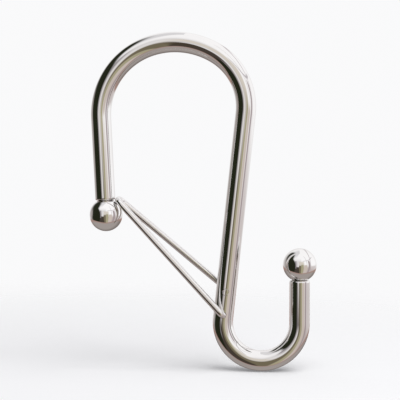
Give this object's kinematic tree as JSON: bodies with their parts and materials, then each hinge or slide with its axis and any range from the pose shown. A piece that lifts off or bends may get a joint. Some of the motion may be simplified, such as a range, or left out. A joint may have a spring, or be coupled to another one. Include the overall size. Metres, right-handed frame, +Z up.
{
  "type": "curtain hook",
  "caption": "Polished steel S-shaped hook with a ball on each end of the rod and a sprung wire gate that closes its large loop.",
  "frame": {"origin": "inside of the large loop at its crown, where the rail carries the hook", "axes": "+Z up with the hook hung on its rail, +X from the large loop's open side towards the small hook, +Y away from the viewer, along the rail"},
  "size_m": [0.0563, 0.0086, 0.0837],
  "materials": {
    "polished_rod": "polished",
    "polished_ball": "polished",
    "spring_wire": "polished"
  },
  "bodies": {
    "hook": {"hook_rod": "polished_rod", "upper_ball": "polished_ball", "lower_ball": "polished_ball"},
    "gate": {"wire_gate": "spring_wire"}
  },
  "joints": [
    {"name": "gate_hinge", "type": "hinge", "parent": "hook", "child": "gate", "pos_m": [0.0126, 0, -0.06178], "axis": [0, 1, 0], "range_deg": [0, 40], "stiffness_Nm_per_rad": 0.03, "springref_deg": -28.65, "deforming": ["wire_gate"]}
  ]
}
